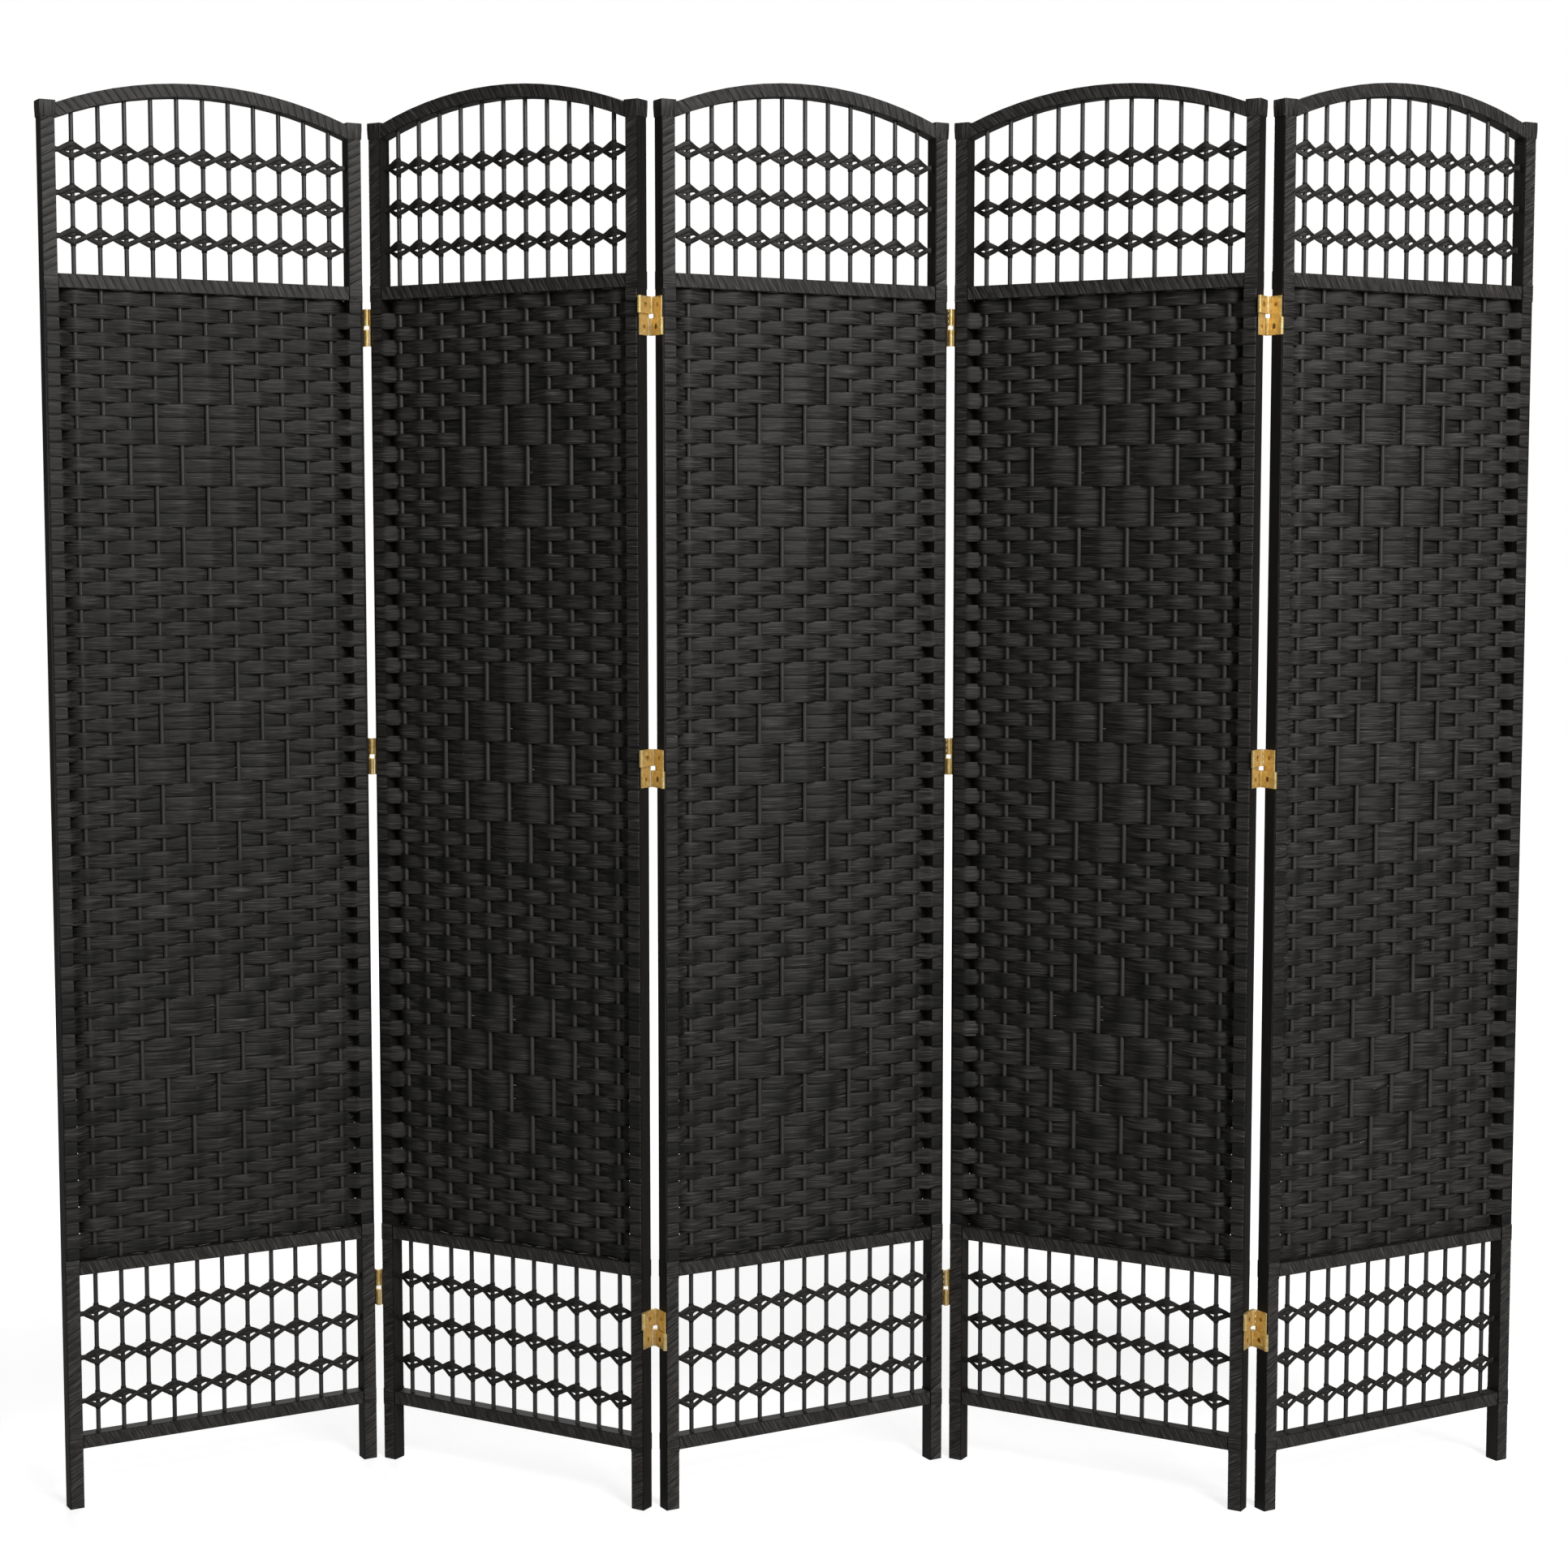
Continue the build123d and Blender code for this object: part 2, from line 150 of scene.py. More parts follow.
# %% [markdown]
# ## Dyed plant fiber
# The strips, ribbons and cords are all leaf fiber that was soaked, dyed nearly black and pressed flat.
# Up close it shows fine streaks along its length, some lighter where dye has rubbed off, and a dry,
# slightly waxy surface. The pieces carry a map in metres: along the strip in u, across it in v, so
# the streaks follow every bend. Each strip lies a tenth of a metre further along v than the last, and
# each panel ten metres further along u, which gives every strip its own streaks and its own tone. The
# weave is also marked with how deep it lies, and its colour gets painted shade where it lies deep
# behind the rods, and along every piece's edges.

# %% Helpers for textures
strip_step = 0.1
panel_step = 10.0


def multiply(tree, first, second):
    """The product of two values."""
    return add_node(tree, "ShaderNodeMath", {"operation": "MULTIPLY"}, {0: first, 1: second}).outputs["Value"]


def value_range(tree, source, low, high, to_low, to_high):
    """A value moved from one range to another, and held inside it."""
    settings = {"From Min": low, "From Max": high, "To Min": to_low, "To Max": to_high}
    return add_node(tree, "ShaderNodeMapRange", settings, {"Value": source}).outputs["Result"]


def drawn_out_noise(tree, place, size, detail=3.0, distortion=0.0):
    """Noise with its own size in metres along each axis."""
    scale = tuple(1 / length for length in size)
    mapped = add_node(tree, "ShaderNodeMapping", {"Scale": scale}, {"Vector": place})
    settings = {"Scale": 1.0, "Detail": detail, "Roughness": 0.58, "Distortion": distortion}
    noise = add_node(tree, "ShaderNodeTexNoise", settings, {"Vector": mapped.outputs["Vector"]})
    return noise.outputs["Fac"]


def coloured_by(tree, source, stops):
    """A value turned into colour by a ramp."""
    ramp = add_node(tree, "ShaderNodeValToRGB", links={"Fac": source})
    set_ramp(ramp, stops)
    return ramp.outputs["Color"]


def raised_by(tree, shader, source, depth):
    """Raise the surface by a value, up to a depth in metres."""
    settings = {"Strength": 0.8, "Distance": depth}
    bump = add_node(tree, "ShaderNodeBump", settings, {"Height": source})
    tree.links.new(bump.outputs["Normal"], shader.inputs["Normal"])


# %% Dyed fiber
def own_tone(tree, place):
    """A tone that differs from strip to strip and from panel to panel."""
    settings = {"Scale": (1 / panel_step, 1 / strip_step, 1.0), "Location": (0.5, 0.5, 0)}
    which = add_node(tree, "ShaderNodeMapping", settings, {"Vector": place})
    number = add_node(tree, "ShaderNodeVectorMath", {"operation": "FLOOR"}, {0: which.outputs["Vector"]})
    own = add_node(
        tree, "ShaderNodeTexWhiteNoise", {"noise_dimensions": "3D"}, {"Vector": number.outputs["Vector"]}
    )
    return value_range(tree, own.outputs["Value"], 0.0, 1.0, 0.84, 1.16)


def painted_edge_shade(tree, place, spacing, start, end, darkest):
    """Painted shade: darker along a strip's edges, in the grooves between strips. Strips lie a spacing apart
    across v.
    """
    across = add_node(tree, "ShaderNodeSeparateXYZ", links={"Vector": place}).outputs["Y"]
    reach = add_node(tree, "ShaderNodeMath", {"operation": "PINGPONG", 1: spacing / 2}, {0: across})
    return value_range(tree, reach.outputs["Value"], start, end, 1.0, darkest)


def painted_hollow_shade(tree):
    """Painted shade: darker where the weave dips behind a rod."""
    recess = add_node(tree, "ShaderNodeAttribute", {"attribute_name": "recess"}).outputs["Fac"]
    return value_range(tree, recess, 0.1, 1.0, 1.0, 0.38)


def dyed_fiber(name, stops, streak_size, depth, roughness, specular, edges):
    """Flat dyed leaf fiber, with streaks of a size along and across it, in metres."""
    material, tree, shader = new_material(name)
    place = add_node(tree, "ShaderNodeUVMap").outputs["UV"]
    streaks = drawn_out_noise(tree, place, (*streak_size, 1.0), distortion=0.15)
    patches = drawn_out_noise(tree, place, (0.035, 0.005, 1.0), detail=2.0)
    edge = painted_edge_shade(tree, place, *edges)
    tone = multiply(tree, own_tone(tree, place), value_range(tree, patches, 0.3, 0.7, 0.7, 1.3))
    # The colour is darkened by painted shade along the edges and in the hollows behind the rods.
    tone = multiply(tree, tone, multiply(tree, edge, painted_hollow_shade(tree)))
    colour = coloured_by(tree, streaks, stops)
    coloured = add_node(tree, "ShaderNodeVectorMath", {"operation": "SCALE"}, {0: colour, "Scale": tone})
    tree.links.new(coloured.outputs["Vector"], shader.inputs["Base Color"])
    dry = value_range(tree, streaks, 0.3, 0.7, roughness - 0.08, roughness + 0.1)
    rough_edge = value_range(tree, edge, edges[-1], 1.0, 0.9, 0.3)
    surface = add_node(tree, "ShaderNodeMath", {"operation": "MAXIMUM"}, {0: dry, 1: rough_edge})
    tree.links.new(surface.outputs["Value"], shader.inputs["Roughness"])
    raised_by(tree, shader, streaks, depth)
    shader.inputs["Specular IOR Level"].default_value = specular
    return material


# Pressed leaf strip: fine level streaks, a few light ones, dry with a faint waxy gleam, with painted shade
# along its edges and in the hollows behind the rods.
woven_leaf = dyed_fiber(
    "dyed_pressed_leaf_strip", [(0.32, "0a0a0a"), (0.44, "201f1e"), (0.58, "343230"), (0.72, "504e4a")],
    streak_size=(38 * mm, 1.3 * mm), depth=0.5 * mm, roughness=0.56, specular=0.24,
    # The edge settings paint shade along the edges: the strips' spacing, where the painted shade starts and
    # ends, and how dark it gets.
    edges=(strip_step, 6.5 * mm, 8.0 * mm, 0.25),
)
# Wound leaf ribbon: the same leaf, cut narrower and pulled tight, a little glossier, with painted shade along
# its edges.
wound_leaf = dyed_fiber(
    "dyed_wound_leaf_ribbon", [(0.34, "0d0c0c"), (0.45, "242221"), (0.56, "373532"), (0.69, "54504b")],
    streak_size=(22 * mm, 1.4 * mm), depth=0.35 * mm, roughness=0.52, specular=0.32,
    edges=(10 * mm, 4.2 * mm, 5.0 * mm, 0.42),
)
# Twisted leaf cord: fine fibers along the cord, darker in the hollows between them, with painted shade along
# the cord's edges.
knotted_leaf = dyed_fiber(
    "dyed_twisted_leaf_cord", [(0.28, "0f0e0d"), (0.5, "232220"), (0.62, "2f2c2a"), (0.75, "3c3936")],
    streak_size=(9 * mm, 0.7 * mm), depth=0.2 * mm, roughness=0.55, specular=0.3,
    edges=(strip_step, 1.9 * mm, 3.1 * mm, 0.5),
)

# %% [markdown]
# ## Cane, timber and brass
# The rods are round core cane, sanded and dyed, so their fine upright grain shows through a satin
# surface. The frame's timber is stained as dark as the fiber and is only seen at the foot of the
# stiles and in the slits of the winding. The hinges are pressed and rolled from sheet brass.


# %% Cane rods, timber and brass
def grained(name, stops, grain_width, grain_length, depth, roughness, specular):
    """A stained surface with upright grain, measured along the object's own axes."""
    material, tree, shader = new_material(name)
    place = add_node(tree, "ShaderNodeTexCoord").outputs["Object"]
    grain = drawn_out_noise(tree, place, (grain_width, grain_width, grain_length))
    tree.links.new(coloured_by(tree, grain, stops), shader.inputs["Base Color"])
    raised_by(tree, shader, grain, depth)
    shader.inputs["Roughness"].default_value = roughness
    shader.inputs["Specular IOR Level"].default_value = specular
    return material


def sheet_brass(name, stops, roughness):
    """Lacquered brass: a warm metal with faint brushed lines and a few duller spots."""
    material, tree, shader = new_material(name)
    place = add_node(tree, "ShaderNodeTexCoord").outputs["Object"]
    lines = drawn_out_noise(tree, place, (1.5 * mm, 1.5 * mm, 20 * mm))
    spots = drawn_out_noise(tree, place, (5 * mm, 5 * mm, 5 * mm), detail=2.0)
    tree.links.new(coloured_by(tree, spots, stops), shader.inputs["Base Color"])
    dull = value_range(tree, lines, 0.3, 0.7, roughness - 0.06, roughness + 0.08)
    tree.links.new(dull, shader.inputs["Roughness"])
    shader.inputs["Metallic"].default_value = 0.6
    return material


# Core cane: satin, paler than the leaf, with fine upright grain.
satin_cane = grained(
    "dyed_sanded_core_cane", [(0.3, "232120"), (0.5, "363433"), (0.72, "474541")],
    grain_width=0.7 * mm, grain_length=40 * mm, depth=0.08 * mm, roughness=0.4, specular=0.45,
)
# Stained hardwood: nearly black, open grain, seen only in slits and at the feet.
stained_timber = grained(
    "stained_hardwood", [(0.3, "0d0b0a"), (0.55, "191613"), (0.75, "25211d")],
    grain_width=1.2 * mm, grain_length=30 * mm, depth=0.15 * mm, roughness=0.6, specular=0.3,
)
# Rolled sheet brass under clear lacquer: warm yellow, lightly brushed.
rolled_brass = sheet_brass("rolled_sheet_brass", [(0.3, "d8b468"), (0.55, "ebcd86"), (0.75, "f6e3aa")], 0.34)
# Drawn brass wire for the pins: brighter and smoother than the plates.
drawn_brass = sheet_brass("drawn_brass_pin", [(0.3, "ecd08a"), (0.6, "fbeec4")], 0.2)
# Turned brass screws, duller in their slots.
turned_brass = sheet_brass("turned_brass_screw", [(0.3, "8a6a3a"), (0.6, "b08a4c")], 0.3)

finishes = {
    "stiles": stained_timber, "rails": stained_timber, "dowels": stained_timber, "rods": satin_cane,
    "hinge_leaves": rolled_brass, "links": rolled_brass, "hinge_screws": turned_brass, "pins": drawn_brass,
}
for name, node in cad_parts.items():
    for ending, finish in finishes.items():
        if name.endswith(ending) or name.startswith(f"upper_{ending}"):
            node.data.materials.clear()
            node.data.materials.append(finish)
print("finished nodes:", sum(1 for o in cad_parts.values() if o.data.materials))

# %% [markdown]
# ## Helpers for modelling
# The fiber pieces are all long flat things led round other things. The way to make them by hand is to
# draw their cross-section once, then extrude it from place to place, turning it round each corner with
# a spin. While it grows, each new ring of points is marked with its distance along the piece, so that
# the streaks can follow it later.


# %% Helpers for modelling
def select_none():
    """Leave edit mode and deselect everything."""
    if bpy.context.object and bpy.context.object.mode != "OBJECT":
        bpy.ops.object.mode_set(mode="OBJECT")
    bpy.ops.object.select_all(action="DESELECT")


def only(piece):
    """Make one piece the selected and active one."""
    select_none()
    piece.select_set(True)
    bpy.context.view_layer.objects.active = piece


def apply_modifier(piece, kind, **settings):
    """Add a modifier and apply it at once."""
    only(piece)
    modifier = piece.modifiers.new(kind.lower(), kind)
    for key, value in settings.items():
        setattr(modifier, key, value)
    bpy.ops.object.modifier_apply(modifier=modifier.name)


def copy_of(piece, name, place=None):
    """A copy with its own mesh, moved in its mesh."""
    twin = piece.copy()
    twin.data = piece.data.copy()
    twin.name = name
    bpy.context.scene.collection.objects.link(twin)
    if place is not None:
        twin.data.transform(place)
    return twin


def join(pieces, name):
    """Join several pieces into one."""
    select_none()
    for piece in pieces:
        piece.select_set(True)
    bpy.context.view_layer.objects.active = pieces[0]
    if len(pieces) > 1:
        bpy.ops.object.join()
    pieces[0].name = name
    return pieces[0]


def triangles(piece):
    """How many triangles a piece has."""
    return sum(len(face.vertices) - 2 for face in piece.data.polygons)


class Grower:
    """A mesh that grows ring by ring in edit mode, and marks each ring with its distance along."""

    def __init__(self, name, points):
        """Start from a ring of points, each with its place and how far it lies across the strip."""
        select_none()
        bpy.ops.mesh.primitive_circle_add(vertices=len(points))
        self.piece = bpy.context.object
        self.piece.name = name
        mesh = self.piece.data
        mesh.attributes.new("along", "FLOAT", "POINT")
        mesh.attributes.new("across", "FLOAT", "POINT")
        for index, (place, across) in enumerate(points):
            mesh.vertices[index].co = place
            mesh.attributes["across"].data[index].value = across
        self.length = 0.0
        bpy.ops.object.mode_set(mode="EDIT")
        bpy.ops.mesh.select_mode(type="VERT")
        bpy.ops.mesh.select_all(action="SELECT")

    def mark(self, added):
        """Write the distance along on the ring that is selected."""
        self.length += added
        bpy.ops.object.mode_set(mode="OBJECT")
        mesh = self.piece.data
        values = mesh.attributes["along"].data
        chosen = [v.index for v in mesh.vertices if v.select]
        for index in chosen:
            values[index].value = self.length
        bpy.ops.object.mode_set(mode="EDIT")

    def extrude(self, step):
        """Extrude the ring by a step."""
        bpy.ops.mesh.extrude_region_move(TRANSFORM_OT_translate={"value": step})
        self.mark(Vector(step).length)

    def resize(self, scale, centre):
        """Scale the ring about a point."""
        bpy.ops.transform.resize(value=scale, center_override=centre)

    def turn(self, angle, centre, steps, radius):
        """Spin the ring about an upright axis."""
        for _ in range(steps):
            bpy.ops.mesh.spin(steps=1, angle=angle / steps, center=centre, axis=(0, 0, 1))
            self.mark(abs(angle / steps) * radius)

    def finish(self):
        """Leave edit mode and hand over the piece."""
        bpy.ops.object.mode_set(mode="OBJECT")
        return self.piece


# %% [markdown]
# ## The woven strips
# Each strip is a broad leaf folded to a flat tube, about 16 mm high. It starts tucked behind a stile, is
# led round the stile's outer face, and then passes in front of and behind the rods to the other stile.
# Between rods it runs straight, and it bends over each rod in a soft ridge. Its two edges are thin, and
# tuck against the next strips, and painted shade along them makes the joints read as fine dark lines.
# A few patterns of over and under make the plain weave and its three diamonds. Each pattern is made
# once, as a left half that is mirrored, because every pattern is the same on both sides of the middle rod.

# %% Sizes of the strips
strip_rows = 71
weave_bottom = 301.7 * mm
weave_top = 1450.3 * mm
row_pitch = (weave_top - weave_bottom) / strip_rows
diamond_rows = (13, 35, 57)
diamond_step = 3
diamond_reach = 3
corner_radius = 1.6 * mm
turn_half_thickness = 0.5 * mm
field_half_thickness = 0.95 * mm
ridge_reach = 3.73 * mm
ridge_half_width = 3.5 * mm
stile_inner = panel_width / 2 - stile_width
# Beside a stile: how far in the strip has left it, how far in it lies nearly flat, and its depth there.
just_off_stile = 1.0 * mm
depth_off_stile = 8.7 * mm
well_off_stile = 9.0 * mm
depth_well_off_stile = 2.6 * mm
# Between two rods that it passes on the same side, a strip sags to this share of its depth.
sag_between_rods = 0.93
shake = 0.22 * mm
# Upper and lower edge of a strip from its middle: over the stile, where it leaves the stile, beside
# it, and between rods.
edges_at_stile = (8.05 * mm, -8.05 * mm)
edges_leaving = (11.6 * mm, -11.6 * mm)
edges_beside = (10.0 * mm, -10.2 * mm)
edges_between = (8.7 * mm, -9.0 * mm)
# How far an edge reaches from the strip's middle at a rod: next to a strip on the rod's other side,
# when in front of the rod or behind it, and next to a strip on the same side.
reach_in_front = 9.4 * mm
reach_behind = 11.2 * mm
reach_level = 8.7 * mm
print(f"row pitch {row_pitch / mm:.3f} mm")


# %% Which rods each strip covers
def rod_shows(row, rod):
    """True where the rod lies in front of the strip. Rows and rods count from 1."""
    shows = (row + rod) % 2 == 1
    for centre in diamond_rows:
        distance = abs(row - centre)
        if distance % diamond_step == 0 and distance <= 2 * diamond_step:
            if abs(rod - 1 - half_rods) <= diamond_reach - distance // diamond_step:
                shows = not shows
    return shows


def edges_at_rod(row, rod):
    """Upper and lower edge of a strip at a rod. They overlap a neighbour on the rod's other side."""
    shows = rod_shows(row, rod)
    reach = reach_behind if shows else reach_in_front
    above, below = (reach if rod_shows(row + step, rod) != shows else reach_level for step in (-1, 1))
    return above, -below


def left_half(row):
    """For the rods from the left stile to the middle: whether each shows, and the strip's edges there."""
    return tuple((rod_shows(row, rod), edges_at_rod(row, rod)) for rod in range(1, half_rods + 2))


# %% One strip for each pattern
def strip_section(x, y, half_thickness, edges):
    """Six points of a flat folded leaf, standing across the panel: two thin edges, two flat faces."""
    top, bottom = edges
    middle = (top + bottom) / 2
    shoulder = 0.8 * (top - bottom) / 2
    outline = [(0, top), (1, middle + shoulder), (1, middle - shoulder)]
    outline += [(0, bottom), (-1, middle - shoulder), (-1, middle + shoulder)]
    return [((x, y + side * half_thickness, z), z) for side, z in outline]


def field_stations(pattern, face):
    """Places of a strip between the stile and the middle rod: x, y, half thickness and edges."""
    stations = [
        (-stile_inner - 0.3 * mm, face * 9.5 * mm, turn_half_thickness, edges_at_stile),
        (-stile_inner + just_off_stile, face * depth_off_stile, 0.7 * mm, edges_leaving),
        (-stile_inner + well_off_stile, face * depth_well_off_stile, field_half_thickness, edges_beside),
    ]
    for index, (shows, edges) in enumerate(pattern):
        x = (index - half_rods) * rod_pitch
        y = ridge_reach if shows else -ridge_reach
        stations.append((x - ridge_half_width, y, field_half_thickness, edges))
        if index == half_rods:
            stations.append((0.0, y, field_half_thickness, edges))
            break
        stations.append((x + ridge_half_width, y, field_half_thickness, edges))
        next_shows, next_edges = pattern[index + 1]
        if next_shows != shows:
            between, edges = 0.0, edges_between
        else:
            between = sag_between_rods * y
            edges = tuple((here + there) / 2 for here, there in zip(edges, next_edges))
        stations.append((x + rod_pitch / 2, between, field_half_thickness, edges))
    return stations


def woven_strip(pattern):
    """A strip with one pattern, from its tucked end behind the stile to the middle, then mirrored."""
    face = -1 if pattern[0][0] else 1
    reach = stile_depth / 2 - turn_half_thickness
    first = strip_section(-stile_inner - 0.8 * mm, -face * reach, turn_half_thickness, edges_at_stile)
    strip = Grower("strip", first)
    corner_x = -panel_width / 2 + corner_radius
    corner_y = stile_depth / 2 - corner_radius
    turn_radius = corner_radius - turn_half_thickness
    strip.extrude((corner_x + stile_inner + 0.8 * mm, 0, 0))
    strip.turn(-face * pi / 2, (corner_x, -face * corner_y, 0), 2, turn_radius)
    strip.extrude((0, face * 2 * corner_y, 0))
    strip.turn(-face * pi / 2, (corner_x, face * corner_y, 0), 2, turn_radius)
    x, y = corner_x, face * reach
    thickness, edges = turn_half_thickness, edges_at_stile
    for next_x, next_y, next_thickness, next_edges in field_stations(pattern, face):
        middle = sum(edges) / 2
        next_middle = sum(next_edges) / 2
        strip.extrude((next_x - x, next_y - y, next_middle - middle))
        height_scale = (next_edges[0] - next_edges[1]) / (edges[0] - edges[1])
        strip.resize((1, next_thickness / thickness, height_scale), (next_x, next_y, next_middle))
        x, y, thickness, edges = next_x, next_y, next_thickness, next_edges
    half_length = strip.length
    piece = strip.finish()
    apply_modifier(piece, "MIRROR", use_clip=False, merge_threshold=0.01 * mm)
    return piece, half_length


patterns = {}
for row in range(1, strip_rows + 1):
    if left_half(row) not in patterns:
        patterns[left_half(row)] = woven_strip(left_half(row))
for pattern, (piece, half_length) in patterns.items():
    depths = [v.co.y / mm for v in piece.data.vertices]
    signs = "".join("o" if shows else "-" for shows, _ in pattern)
    print(f"strip {signs}: {len(depths)} points, {2 * half_length:.3f} m long,",
          f"y {min(depths):.1f} to {max(depths):.1f} mm")


# %% [markdown]
# ## Seventy-one strips
# A hand weaver's strips are never quite even, so each copy of a strip is shaken by a fraction of a
# millimetre before it is smoothed. The map is written before the smoothing, from the distance along
# the strip and the height across it.


# %% The weave of one panel
def write_map(piece, shift_v=0.0, middle_length=None):
    """Write a piece's map: u is the distance along it, v the distance across it plus a shift."""
    mesh = piece.data
    count = len(mesh.vertices)
    along, across = np.zeros(count, np.float32), np.zeros(count, np.float32)
    mesh.attributes["along"].data.foreach_get("value", along)
    mesh.attributes["across"].data.foreach_get("value", across)
    if middle_length is not None:
        places = np.zeros(count * 3, np.float32)
        mesh.vertices.foreach_get("co", places)
        along = np.where(places[::3] > 0, 2 * middle_length - along, along)
    corners = np.zeros(len(mesh.loops), np.int32)
    mesh.loops.foreach_get("vertex_index", corners)
    layer = mesh.uv_layers.active or mesh.uv_layers.new(name="UVMap")
    values = np.stack([along[corners], across[corners] + shift_v], axis=1)
    layer.data.foreach_set("uv", values.astype(np.float32).ravel())


def shift_map(piece, shift_u):
    """Move a piece's whole map along u."""
    layer = piece.data.uv_layers.active
    values = np.zeros(len(piece.data.loops) * 2, np.float32)
    layer.data.foreach_get("uv", values)
    values[::2] += shift_u
    layer.data.foreach_set("uv", values)


def mark_recess(piece, reach):
    """Mark each point with how far it lies below the weave's face, from -1 on a ridge to 1 behind a rod."""
    mesh = piece.data
    places, normals = (np.zeros(len(mesh.vertices) * 3, np.float32) for _ in range(2))
    mesh.vertices.foreach_get("co", places)
    mesh.vertices.foreach_get("normal", normals)
    recess = mesh.attributes.new("recess", "FLOAT", "POINT")
    recess.data.foreach_set("value", -places[1::3] * normals[1::3] / reach)


def woven_field():
    """All the strips of one panel, shaken, joined and smoothed."""
    strips = []
    for row in range(1, strip_rows + 1):
        source, half_length = patterns[left_half(row)]
        strip = copy_of(source, f"strip_{row}")
        write_map(strip, row * strip_step, half_length)
        only(strip)
        bpy.ops.object.mode_set(mode="EDIT")
        bpy.ops.mesh.select_all(action="SELECT")
        bpy.ops.transform.vertex_random(offset=shake, seed=row)
        bpy.ops.object.mode_set(mode="OBJECT")
        height = weave_top - (row - 0.5) * row_pitch
        strip.data.transform(Matrix.Translation((0, 0, height)))
        strips.append(strip)
    field = join(strips, "woven_field")
    only(field)
    bpy.ops.object.mode_set(mode="EDIT")
    bpy.ops.mesh.select_all(action="SELECT")
    bpy.ops.mesh.normals_make_consistent(inside=False)
    bpy.ops.object.mode_set(mode="OBJECT")
    apply_modifier(field, "SUBSURF", levels=1, render_levels=1)
    only(field)
    bpy.ops.object.shade_smooth()
    mark_recess(field, ridge_reach)
    return field


field = woven_field()
print("weave of one panel:", triangles(field), "triangles")

# %% [markdown]
# ## Wound ribbon on the stiles
# The legs and the open parts of the stiles are bound with leaf ribbon about 10 mm wide. Four ribbons
# are wound side by side, so their edges climb at about 27 degrees across the face. One turn of one
# ribbon is led round the stile's section, then repeated upward by its pitch and trimmed level. The
# joints at the rails are bound level, in one broad band, which is the same turn without its climb.

# %% A turn of ribbon
ribbon_pitch = 10.0 * mm
ribbons_abreast = 4
ribbon_edge_sink = 0.35 * mm
ribbon_inner_depth = 0.95 * mm


def ribbon_section(x, y, height):
    """Six points across a ribbon with soft edges: a crowned outer face and a hidden inner one."""
    half = height / 2
    shoulder = half - 1.0 * mm
    outline = [(-half, ribbon_edge_sink), (-shoulder, 0), (shoulder, 0), (half, ribbon_edge_sink)]
    outline += [(shoulder, ribbon_inner_depth), (-shoulder, ribbon_inner_depth)]
    return [((x, y + depth, z), z) for z, depth in outline]


def wound_turn(width, depth, height, climb_in_turn, name):
    """One turn of ribbon round an upright bar, climbing as it goes. Returns it and its length."""
    r = corner_radius
    flat_x, flat_y = width - 2 * r, depth - 2 * r
    around = 2 * (flat_x + flat_y) + 2 * pi * r
    climb = climb_in_turn / around
    turn = Grower(name, ribbon_section(-flat_x / 2, -depth / 2, height))
    corners = [(1, -1), (1, 1), (-1, 1), (-1, -1)]
    sides = [(flat_x, 0), (0, flat_y), (-flat_x, 0), (0, -flat_y)]
    for (dx, dy), (side_x, side_y) in zip(sides, corners):
        run = abs(dx + dy)
        for _ in range(2):
            turn.extrude((dx / 2, dy / 2, climb * run / 2))
        for _ in range(2):
            centre = (side_x * flat_x / 2, side_y * flat_y / 2, 0)
            bpy.ops.mesh.spin(steps=1, angle=pi / 4, center=centre, axis=(0, 0, 1))
            bpy.ops.transform.translate(value=(0, 0, climb * r * pi / 4))
            turn.mark(r * pi / 4)
    piece = turn.finish()
    write_map(piece)
    return piece, around


def weld(piece):
    """Merge points that meet, and turn every face outwards."""
    only(piece)
    bpy.ops.object.mode_set(mode="EDIT")
    bpy.ops.mesh.select_all(action="SELECT")
    bpy.ops.mesh.remove_doubles(threshold=0.02 * mm)
    bpy.ops.mesh.normals_make_consistent(inside=False)
    bpy.ops.object.mode_set(mode="OBJECT")


def trim(piece, place, outward):
    """Cut a piece at a plane, drop what lies beyond it and close the cut."""
    only(piece)
    bpy.ops.object.mode_set(mode="EDIT")
    bpy.ops.mesh.select_all(action="SELECT")
    bpy.ops.mesh.bisect(plane_co=place, plane_no=outward, clear_outer=True, use_fill=True)
    bpy.ops.object.mode_set(mode="OBJECT")


def wound_bar(width, depth, low, high, name):
    """Ribbons wound side by side up a bar, from one height to another."""
    bar, around = wound_turn(width, depth, ribbon_pitch, ribbon_pitch * ribbons_abreast, name)
    bar.data.transform(Matrix.Translation((0, 0, low - ribbon_pitch * (ribbons_abreast + 0.5))))
    count = int((high - low) / ribbon_pitch) + ribbons_abreast + 3
    apply_modifier(
        bar, "ARRAY", count=count, use_relative_offset=False, use_constant_offset=True,
        constant_offset_displace=(0, 0, ribbon_pitch), offset_v=strip_step, offset_u=0.37,
    )
    weld(bar)
    trim(bar, (0, 0, low), (0, 0, -1))
    trim(bar, (0, 0, high), (0, 0, 1))
    return bar


def soften(piece, degrees=50):
    """Shade a piece smooth, except where it turns sharply."""
    only(piece)
    bpy.ops.object.shade_smooth_by_angle(angle=radians(degrees))


